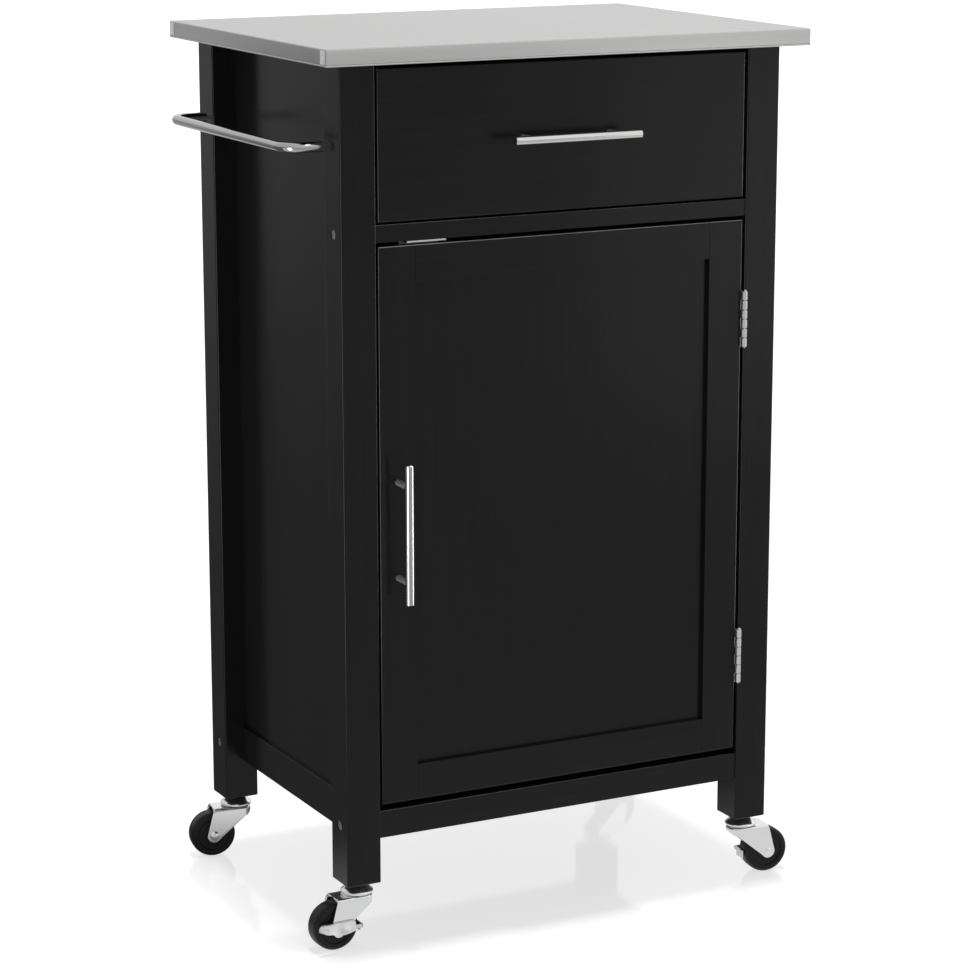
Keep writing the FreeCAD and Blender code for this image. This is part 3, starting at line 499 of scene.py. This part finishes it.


# ---- bar pulls ----
# Round steel bars, brushed along their length, each on two turned posts that are screwed on
# from behind by round-headed screws.
# The door pull and the towel rail share one steel colour, painted darker than the drawer pull's:
# painted shade for the dim surroundings they mirror.
bar_steel_painted_shade = (0.52, 0.517, 0.512)
level_bar_steel = (0.76, 0.755, 0.745)
posts_steel_painted_sheen = (0.80, 0.80, 0.795)
upright_bar = brushed_steel("bar_upright", 2, 1500.0, bar_steel_painted_shade, 0.11, 0.35)
level_bar = brushed_steel("level_bar", 0, 1500.0, level_bar_steel, 0.05, 0.35)
# The posts are painted lighter and only partly metallic: a painted sheen that keeps them bright where
# they would mirror the black door.
pull_posts = brushed_steel("bar_posts", 1, 1500.0, posts_steel_painted_sheen, 0.2, 0.35, metallic=0.6)
paint(upright_bar, "door_pull_bar")
paint(level_bar, "drawer_pull_bar")
paint(pull_posts, "door_pull_posts", "drawer_pull_posts")

pull_screw_head = [(0, 0.7), (0.9, 0.8), (1.3, 1.9), (2.4, 1.8), (3.6, 1.2), (4.1, 0.5), (4.1, -0.5)]


def make_pull_screws(posts, board_behind):
    """A screw head on the back of a front or stile, behind each of a pull's two posts."""
    shape = bmesh.new()
    low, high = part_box(posts)
    half_post = min(high.x - low.x, high.z - low.z) / 2
    inset = Vector((half_post, 0, half_post))
    back_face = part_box(board_behind)[1].y
    for place in (low + inset, high - inset):
        seat = Vector((place.x, back_face, place.z)) / mm
        turned(shape, pull_screw_head, seat, (0, 1, 0), small_steps)
    shape.transform(Matrix.Scale(mm, 4))
    return shape


add_piece("door_pull_screws", make_pull_screws("door_pull_posts", "door_stile_pull_side"),
          fastener_zinc, "door", "fastener_zinc")
add_piece("drawer_pull_screws", make_pull_screws("drawer_pull_posts", "drawer_front"),
          fastener_zinc, "drawer", "fastener_zinc")


# ---- drawer ----
# A lacquered front screwed to a box of pale softwood, with a thin plywood bottom let into
# grooves.
def timber(name, grain_axis, pale, dark):
    """Clear-lacquered wood, its growth rings drawn out along one axis, x or y."""
    finish = Finish(name, roughness=0.5)
    rings = finish.noise(finish.along(drawn_out(60.0, 2.2, grain_axis)), 1.0, 2.0, 0.5)
    pores = finish.noise(finish.along(drawn_out(900.0, 14.0, grain_axis)), 1.0, 3.0, 0.7)
    across_grain = "XYZ"[grain_axis - 2]
    bands = finish.node("TexWave", {"bands_direction": across_grain},
                        {"Vector": finish.along(), "Scale": 14.0, "Distortion": 9.0,
                         "Detail": 2.0, "Detail Scale": 0.6})
    finish.feed("Base Color", finish.blend(rings * 0.5 + bands * 0.3 + pores * 0.2, dark, pale))
    finish.feed("Roughness", 0.42 + 0.16 * pores)
    finish.relief((pores, 0.2, 0.15 * mm))
    return finish


pine_pale = (0.66, 0.52, 0.34)
pine_dark = (0.48, 0.33, 0.18)
plywood_pale = (0.70, 0.57, 0.40)
plywood_dark = (0.56, 0.42, 0.26)
paint(cross_lacquer, "drawer_front")
paint(timber("pine", 1, pine_pale, pine_dark), "drawer_side_left", "drawer_side_right")
paint(timber("pine_back", 0, pine_pale, pine_dark), "drawer_back")
paint(timber("plywood", 0, plywood_pale, plywood_dark), "drawer_bottom")


# ---- drawer runners ----
# Channels of rolled zinc-plated steel, one inside the other, screwed to the side panels and
# to the drawer's sides.
paint(plated("runner_zinc", (0.58, 0.59, 0.60), 0.3), "cabinet_runners", "drawer_runners")


# ---- towel rail ----
# A steel rod bent twice, brushed along its length, and held off the two left posts by a thin
# spigot at each end.
# The rail takes the darker bar steel: painted shade, not a different metal.
rail_finish = brushed_steel("bar_towel_rail", 1, 1300.0, bar_steel_painted_shade, 0.08, 0.35)
paint(rail_finish, "towel_rail")


# ---- magnetic catch ----
# A plated plate and magnet case screwed under the middle rail, and a steel strike on the back
# of the door.
paint(nickel, "magnetic_catch", "catch_strike")


# ---- casters ----
# Pressed zinc-plated forks that swivel under a dished cap, with riveted axles and solid black
# wheels; the front two have a rocker brake on one leg.
bright_zinc = plated("bright_zinc", (0.86, 0.862, 0.865), 0.13)
rubber = Finish("wheel_rubber", specular_ior_level=0.2)
moulding = rubber.noise(rubber.along(), 700.0, 2.0)
scuffs = rubber.noise(rubber.along(), 120.0, 3.0, 0.7)
rubber.feed("Base Color", rubber.blend(scuffs, (0.006, 0.006, 0.006), (0.012, 0.012, 0.012)))
rubber.feed("Roughness", 0.30 + 0.16 * scuffs + 0.05 * moulding)
rubber.relief((moulding, 0.06, 0.2 * mm), (scuffs, 0.05, 0.3 * mm))
# The pedals are the forks' zinc painted darker and rougher: painted shade where the pedal faces the
# bright sky.
pedal_zinc_painted_shade = plated("pedal_zinc_painted_shade", (0.70, 0.70, 0.71), 0.27)
wheel_radius = 24.5                 # this section's sizes are in millimetres
trail = 27.5                        # the axle is this far behind the swivel
axle_centre = (trail, 0, wheel_radius)


def caster_place(corner):
    """From a caster's own frame in millimetres, its wheel trailing along +X, to the cart."""
    swivel = joint_places["swivel_" + corner]
    axle = joint_places["wheel_" + corner]
    turn = math.atan2(axle.y - swivel.y, axle.x - swivel.x)
    return (Matrix.Translation((swivel.x, swivel.y, 0)) @ Matrix.Rotation(turn, 4, "Z")
            @ Matrix.Scale(mm, 4))


def make_wheel():
    """Hub, sunk web with a moulded ring, and a rim with rounded shoulders."""
    half = [(3.05, 0), (3.05, 11.0), (3.5, 11.2), (6.6, 11.2), (7.3, 10.9), (7.6, 10.2), (7.9, 8.3),
            (8.6, 7.9), (11.0, 7.9), (11.5, 8.3), (12.4, 8.4), (13.0, 8.0), (15.8, 7.9), (16.6, 8.3),
            (17.2, 9.6), (17.8, 10.0), (19.6, 10.0), (19.9, 9.7), (20.3, 9.7), (20.6, 9.95),
            (21.3, 9.8), (22.5, 9.2), (23.5, 8.2), (24.2, 6.8), (24.45, 5.2), (24.5, 3.0), (24.5, 0)]
    outline = half + [(radius, -height) for radius, height in half[-2::-1]]
    shape = bmesh.new()
    turned(shape, outline, axle_centre, (0, 1, 0), 72)
    return shape


fork_race = 15.5                    # radius of the crown round the swivel
fork_half = 13.3                    # half the width over the legs
fork_sheet = 1.8
fork_rounding = 0.25
fork_top = 54.0
fork_bend = 2.4                     # radius between crown and legs
fork_skirt_sides = 44.3
fork_skirt_front = 49.0
leg_end = 7.5                       # radius of a leg's round end
leg_end_start = 6.3                 # the straight lower edge meets it this far before the axle,
leg_end_drop = 4.1                  # and this far below it
leg_back_rise = 0.5
front_x = -math.sqrt(fork_race ** 2 - fork_half ** 2)
back_edge_x = trail + leg_end


def fork_lower_edge(x):
    """Height of a leg's lower edge: down from the skirt to the round end at the axle."""
    low_x = trail - leg_end_start
    if x <= low_x:
        share = (x - front_x) / (low_x - front_x)
        return fork_skirt_sides + share * (wheel_radius - leg_end_drop - fork_skirt_sides)
    return wheel_radius - math.sqrt(max(leg_end ** 2 - (x - trail) ** 2, 0))


def fork_upper_edge(x):
    """Height of a leg's upper edge: level to the axle, then down to the leg's end."""
    if x <= trail:
        return fork_top
    share = (x - trail) / leg_end
    return fork_top + share * (wheel_radius + leg_back_rise - fork_top)


leg_share = 0.4                     # of the way around the sheet, on each side
leg_gathering = 0.8                 # draws the grid's columns towards the crown
wall_share = 0.5                    # of the way up the sheet, then the bend, then the crown
bend_share = 0.75


def fork_point(around, up):
    """Maps the sheet: around the crown from one leg's back edge to the other, up from the rim."""
    arc = math.asin(fork_half / fork_race)
    side = 1 if around < 0.5 else -1
    share = around if around < 0.5 else 1 - around
    if share < leg_share:
        travel = 1 - math.cos(share / leg_share * math.pi / 2)
        x = back_edge_x - (back_edge_x - front_x) * travel ** leg_gathering
        outer = Vector((x, side * fork_half, 0))
        inward = Vector((0, -side, 0))
        low = fork_lower_edge(x)
        spine = Vector((max(min(x, trail), 0), 0, 0))
    else:
        turn = arc * (0.5 - share) / (0.5 - leg_share)
        outward = Vector((-math.cos(turn), side * math.sin(turn), 0))
        x = fork_race * outward.x
        outer = outward * fork_race
        inward = -outward
        towards_side = math.sin(math.pi / 2 * abs(turn) / arc) ** 2
        low = fork_skirt_front + towards_side * (fork_skirt_sides - fork_skirt_front)
        spine = Vector((0, 0, 0))
    if up <= wall_share or x > trail:
        wall_top = min(fork_upper_edge(x), fork_top - fork_bend)
        height = low + min(up / wall_share, 1) * (max(wall_top, low) - low)
        return outer + Vector((0, 0, height))
    if up <= bend_share:
        turn = (up - wall_share) / (bend_share - wall_share) * math.pi / 2
        height = fork_top - fork_bend + fork_bend * math.sin(turn)
        return outer + inward * (fork_bend * (1 - math.cos(turn))) + Vector((0, 0, height))
    edge = outer + inward * fork_bend
    return edge.lerp(spine, (up - bend_share) / (1 - bend_share)) + Vector((0, 0, fork_top))


sheet_seam = 0.003
fold_angle = math.radians(50)


def pressed(columns, rows, place, way_out, sheet, rounding):
    """A pressed sheet: a grid moved to place(across, up), then thickened away from way_out."""
    shape = bmesh.new()
    for vert in bmesh.ops.create_grid(shape, x_segments=columns, y_segments=rows, size=1)["verts"]:
        vert.co = place((vert.co.x + 1) / 2, (vert.co.y + 1) / 2)
    bmesh.ops.remove_doubles(shape, verts=shape.verts, dist=sheet_seam)
    bmesh.ops.dissolve_degenerate(shape, edges=shape.edges, dist=sheet_seam)
    bmesh.ops.recalc_face_normals(shape, faces=shape.faces)
    outermost = max(shape.faces, key=lambda face: face.calc_center_median().dot(Vector(way_out)))
    if outermost.normal.dot(Vector(way_out)) < 0:
        bmesh.ops.reverse_faces(shape, faces=shape.faces)
    bmesh.ops.solidify(shape, geom=shape.faces[:], thickness=sheet)
    rounded(shape, [edge for edge in shape.edges
                    if edge.is_manifold and edge.calc_face_angle(0) > fold_angle], rounding)
    return shape


bearing_race = [(4.1, fork_top), (4.1, fork_top + 0.8), (12.6, fork_top + 0.8),
                (13.3, fork_top + 0.6), (13.8, fork_top)]
brake_boss = [(6.5, 13.2), (6.5, 14.9), (6.2, 15.2), (3.0, 15.2)]
brake_boss_drop = 2.5               # below the axle


def make_fork(braked):
    """A fork pressed from one sheet: legs, crown and skirt, with the raised race of the bearing."""
    shape = pressed(80, 16, fork_point, (0, 0, 1), fork_sheet, fork_rounding)
    turned(shape, bearing_race, (0, 0, 0), (0, 0, 1))
    if braked:
        turned(shape, brake_boss, (trail, 0, wheel_radius - brake_boss_drop), (0, 1, 0))
    return shape


rivet_radius = 2.95
rivet_head_radius = 5.0
rivet_head_lift = 0.3
rivet_head_height = 2.1
brake_boss_height = 1.9             # a braked fork's rivet is this much longer


def make_axle(braked):
    """A rivet: domed head on one side, peened over on the other."""
    end = -fork_half
    seat = fork_half + (brake_boss_height if braked else 0)
    outline = [(0, end - 0.5), (1.2, end - 0.55), (1.8, end - 0.9), (3.2, end - 0.85),
               (3.8, end - 0.45), (3.9, end), (rivet_radius, end), (rivet_radius, seat), (4.9, seat)]
    for degrees in range(0, 91, 15):
        turn = math.radians(degrees)
        outline.append((rivet_head_radius * math.cos(turn),
                        seat + rivet_head_lift + rivet_head_height * math.sin(turn)))
    shape = bmesh.new()
    turned(shape, outline, axle_centre, (0, 1, 0), 36)
    return shape


nut_across_flats = 13.0
nut_height = 3.0
nut_middle = 65.5
nut_rounding = 0.4


def make_stem():
    """Hexagon nut, dished bearing cap with a rolled rim, and the kingpin with its flat head."""
    cap = [(0, 62.8), (8.2, 62.8), (9.4, 62.3), (15.0, 58.8), (15.5, 58.2), (15.7, 56.0),
           (16.0, 55.6), (16.4, 55.7), (16.6, 56.1), (16.6, 57.2), (16.3, 57.8), (15.6, 58.4),
           (14.6, 59.2), (10.2, 63.4), (8.8, 64.0), (0, 64.0)]
    kingpin = [(0, 49.9), (5.2, 49.9), (6.0, 50.5), (6.0, 51.7), (4.0, 51.7), (4.0, 67.0), (0, 67.0)]
    nut_radius = nut_across_flats / math.sqrt(3)
    shape = bmesh.new()
    turned(shape, cap, (0, 0, 0), (0, 0, 1), 64)
    turned(shape, kingpin, (0, 0, 0), (0, 0, 1), 32)
    nut = bmesh.ops.create_cone(shape, cap_ends=True, segments=6, radius1=nut_radius,
                                radius2=nut_radius, depth=nut_height,
                                matrix=Matrix.Translation((0, 0, nut_middle)))
    rounded(shape, edges_of(nut["verts"]), nut_rounding)
    return shape


pedal_nose = 9.7
pedal_tail = 50.7
pedal_wing = 7.7                    # length of the round wing at the tail
pedal_nose_round = 2.5
pedal_waist = 37.0                  # the narrow place before the wing
pedal_waist_length = 4.0
pedal_top = 31.8                    # the upper edge, and the height where it closes at the tail
pedal_top_closed = 26.0
pedal_lip = 19.6                    # the lower edge, and the height where it closes at the tail
pedal_lip_closed = 25.4
pedal_lip_middle = 27.0
pedal_lip_curve = 0.012
pedal_start = 13.9                  # how far out the sheet starts, rolls over and bulges
pedal_reach = 17.2
pedal_bulge = 3.4
pivot_dimple = (23.6, 26.2)
wing_ring = (43.4, 26.4)
wing_ring_radius = 2.9


def quarter_round(distance, length):
    """Falls from 1 to 0 like a quarter circle as distance goes from 0 to length."""
    return math.sqrt(max(1 - max(distance / length, 0) ** 2, 0))


def pedal_point(along, out):
    """Maps the brake's pedal: along from nose to tail, out from the leg over the roll to the lip."""
    x = pedal_nose + (pedal_tail - pedal_nose) * along
    tail = quarter_round(x - pedal_tail + pedal_wing, pedal_wing)
    nose = quarter_round(pedal_nose + pedal_nose_round - x, pedal_nose_round + 0.1)
    waist = math.exp(-((x - pedal_waist) / pedal_waist_length) ** 2)
    top = pedal_top_closed + (pedal_top - pedal_top_closed) * tail - 1.2 * (1 - nose) - 0.8 * waist
    lip_open = pedal_lip + pedal_lip_curve * (x - pedal_lip_middle) ** 2
    lip = pedal_lip_closed - (pedal_lip_closed - lip_open) * tail + 1.5 * (1 - nose) + waist
    start = pedal_start + 2.0 * (1 - tail)
    reach = pedal_reach + pedal_bulge * tail * nose
    y = start + (reach - start) * out ** 0.75
    z = top - (top - lip) * out ** 1.5
    y += 1.4 * math.exp(-((x - pivot_dimple[0]) ** 2 + (z - pivot_dimple[1]) ** 2) / 16.0)
    ring = math.hypot(x - wing_ring[0], z - wing_ring[1])
    y += 0.5 * math.exp(-((ring - wing_ring_radius) / 0.7) ** 2) - 0.9 * math.exp(-(ring / 1.7) ** 2)
    return Vector((x, y, z))


pedal_sheet = 1.2
pedal_rounding = 0.3
plate_inner = 13.5
plate_outer = 15.0
plate_reach = 11.0                  # from the pivot, along the leg
plate_bore = 6.7                    # clear of the boss
arm_inner = 0.6
arm_sheet = 1.5
plate_rounding = 0.4


def make_brake():
    """Rocker brake stamped from one sheet: winged pedal, side plates beside the boss, arm and shoe."""
    shape = pressed(72, 22, pedal_point, (0, 1, 0), pedal_sheet, pedal_rounding)
    arm_outer = arm_inner + arm_sheet
    for low, high in (
            ((trail - plate_reach, plate_inner, 20.0), (trail - plate_bore, plate_outer, 31.0)),
            ((trail + plate_bore, plate_inner, 20.0), (trail + plate_reach, plate_outer, 31.0)),
            ((trail - plate_reach, plate_inner, 28.8), (trail + plate_reach, plate_outer, 31.2)),
            ((arm_inner, plate_inner, 21.5), (trail - 8.0, plate_outer, 25.5)),
            ((arm_inner, -5.0, 16.5), (arm_outer, 9.0, 25.5)),
            ((arm_inner, 8.0, 21.5), (arm_outer, plate_outer, 25.5))):
        slab(shape, low, high, plate_rounding)
    return shape


stems = bmesh.new()
for corner in corners:
    braked = corner in ("front_left", "front_right")
    place = caster_place(corner)
    caster_pieces = [
        (make_fork(braked), "fork_pressing_", bright_zinc, "swivel_", "zinc_plate", "caster_fork_"),
        (make_axle(braked), "axle_rivet_", bright_zinc, "swivel_", "zinc_plate", "caster_axle_"),
        (make_wheel(), "wheel_moulding_", rubber, "wheel_", "wheel_rubber", "caster_wheel_")]
    if braked:
        caster_pieces.append((make_brake(), "brake_pedal_", pedal_zinc_painted_shade, "brake_", "zinc_plate",
                              "brake_rocker_"))
    for shape, name, finish, body, slot, node in caster_pieces:
        shape.transform(place)
        add_piece(name + corner, shape, finish, body + corner, slot, node + corner)
    stem = make_stem()
    stem.transform(place)
    stem_mesh = bpy.data.meshes.new("stem")
    stem.to_mesh(stem_mesh)
    stem.free()
    stems.from_mesh(stem_mesh)
    bpy.data.meshes.remove(stem_mesh)
add_piece("stem_caps", stems, bright_zinc, "cart", "zinc_plate", "caster_stems")


# ---- studio ----
# A pale, gently lit floor and white surroundings. The key light is straight overhead, so the
# shadow lies under the cart; the softboxes show only as glints on edges and metal.
floor_reach = 40.0
floor_white = (0.55, 0.55, 0.55)
floor_glow = 0.69
floor_in_gloss = 0.60               # how bright the floor is in reflections
left_dimming = (0.75, 0.79)         # of that, far to the left and beside the cart
left_dimming_from = (-2.0, -0.4)
lane_slope = 0.52                   # the left faces mirror a lane that runs back and to the left
lane_edge = (0.2, 0.6)
far_dimming = 0.85                  # far off in front
far_dimming_from = (-4.5, -2.5)
near_gain = 0.3                     # how much brighter it is close by the cart's front
near_gain_from = (-1.0, -0.35)
cart_front = (0.0, 0.15)            # where what is in front of the cart gives way to what is behind
surroundings_in_gloss = (0.6, 1.1)  # at the left and the right
horizon_in_gloss = 0.1
horizon_height = 0.11
surroundings_fill = 0.22
key_strength = 1.45
key_angle = math.radians(2.4)

floor_mesh = bpy.data.meshes.new("studio_floor")
shape = bmesh.new()
bmesh.ops.create_grid(shape, x_segments=1, y_segments=1, size=floor_reach)
shape.to_mesh(floor_mesh)
shape.free()
floor = bpy.data.objects.new("studio_floor", floor_mesh)
bpy.context.scene.collection.objects.link(floor)
floor_finish = Finish("studio_floor", base_color=floor_white, emission_color=(1, 1, 1),
                      emission_strength=floor_glow, roughness=0.08, specular_ior_level=0.14)
ground = floor_finish.node("TexCoord", {}, {}, "Object")
sideways = floor_finish.node("SeparateXYZ", {}, {0: ground})
depthways = floor_finish.node("SeparateXYZ", {}, {0: ground}, 1)
gloss_ray = floor_finish.node("LightPath", {}, {}, "Is Glossy Ray")
in_front = floor_finish.span(depthways, *cart_front, 1.0, 0.0)
behind = floor_finish.span(depthways, *cart_front, 0.0, 1.0)
near = floor_finish.span(depthways, *near_gain_from, 0.0, 1.0) * in_front
lane = floor_finish.span(sideways + depthways * lane_slope, *lane_edge, 1.0, 0.0) * behind
dimming = 1.0 - lane * floor_finish.span(sideways, *left_dimming_from, *left_dimming)
distance = floor_finish.span(depthways, *far_dimming_from, far_dimming, 1.0)
glow = dimming * distance * (1.0 + near * near_gain) * floor_in_gloss
lit = Signal(floor_finish, floor_finish.shader.outputs[0])
dimmed = floor_finish.node("Emission", {}, {"Strength": glow})
mixed = floor_finish.node("MixShader", {}, {0: gloss_ray, 1: lit, 2: dimmed})
floor_finish.connect(floor_finish.tree.nodes["Material Output"].inputs["Surface"], mixed)
floor_mesh.materials.append(floor_finish.material)

world = bpy.data.worlds.new("studio_world")
bpy.context.scene.world = world
world.use_nodes = True
sky = Wiring(world.node_tree)
compass = sky.node("TexCoord", {}, {}, "Generated")
heading = sky.node("SeparateXYZ", {}, {0: compass})
height = sky.node("SeparateXYZ", {}, {0: compass}, 2)
in_gloss = (sky.span(heading, -1.0, 1.0, *surroundings_in_gloss)
            * sky.span(height, 0.0, horizon_height, horizon_in_gloss, 1.0))
gloss_ray = sky.node("LightPath", {}, {}, "Is Glossy Ray")
diffuse_ray = sky.node("LightPath", {}, {}, "Is Diffuse Ray")
strength = 1.0 + gloss_ray * (in_gloss - 1.0) + diffuse_ray * (surroundings_fill - 1.0)
sky.connect(world.node_tree.nodes["Background"].inputs["Color"], (1, 1, 1))
sky.connect(world.node_tree.nodes["Background"].inputs["Strength"], strength)


def stand(name, lamp, place, target):
    """Puts a lamp at a place, aimed at a point and unseen by the camera."""
    holder = bpy.data.objects.new(name, lamp)
    holder.location = place
    holder.rotation_euler = (Vector(target) - Vector(place)).to_track_quat("-Z", "Y").to_euler()
    holder.visible_camera = False
    bpy.context.scene.collection.objects.link(holder)
    return holder


key = bpy.data.lights.new("key_light", "SUN")
key.energy = key_strength
key.angle = key_angle
stand("key_light", key, (0, 0, 3), (0, 0, 0)).visible_glossy = False

glinting_materials = [finish.material for finish in (upright_lacquer, cross_lacquer, side_lacquer,
                                                     upright_bar, pull_posts, rail_finish)]
glinting = bpy.data.collections.new("glinting_pieces")
for made in bpy.data.objects:
    if made.type == "MESH" and made.active_material in glinting_materials:
        glinting.objects.link(made)

for name, place, target, width, height, power, only_on in (
        ("softbox_right", (1.6, -2.1, 0.45), (0.25, -0.2, 0.8), 0.8, 0.8, 1.6, None),
        ("softbox_above", (1.2, -0.9, 3.0), (0.1, 0, 0.5), 1.5, 0.8, 60.0, glinting),
        ("strip_right", (1.1, -0.5, 0.35), (0.2, -0.2, 0.5), 0.2, 0.9, 6.0, glinting),
        ("strip_left", (-1.0, -0.62, 0.3), (-0.24, -0.19, 0.45), 0.25, 0.9, 7.0, glinting)):
    lamp = bpy.data.lights.new(name, "AREA")
    lamp.shape = "RECTANGLE"
    lamp.size = width
    lamp.size_y = height
    lamp.energy = power
    holder = stand(name, lamp, place, target)
    holder.visible_diffuse = False
    if only_on:
        holder.light_linking.receiver_collection = only_on
